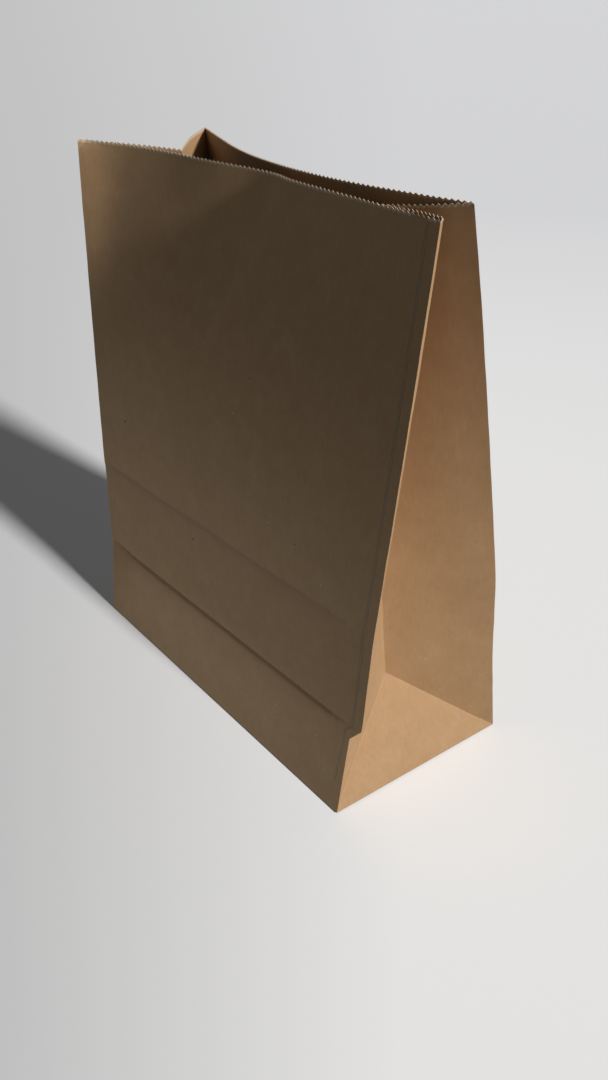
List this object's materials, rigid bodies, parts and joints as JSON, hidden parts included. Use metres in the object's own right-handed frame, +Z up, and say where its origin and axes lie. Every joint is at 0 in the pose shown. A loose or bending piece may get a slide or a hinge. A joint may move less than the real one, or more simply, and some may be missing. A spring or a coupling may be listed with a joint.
{
  "type": "paper bag",
  "caption": "Plain brown kraft grocery bag with gusseted sides and a folded block bottom, standing open, for carrying dry goods.",
  "frame": {"origin": "middle of the bag's rectangular base, on the surface that it stands on", "axes": "+Z up, +X along the front panel to the right as seen from the front, +Y from the front panel to the back panel"},
  "size_m": [0.3327, 0.15, 0.3951],
  "materials": {
    "kraft_paper": "matte, uncoated and unprinted, with fine fibre specks"
  },
  "bodies": {
    "root": {"paper_bag": "kraft_paper"}
  },
  "joints": []
}
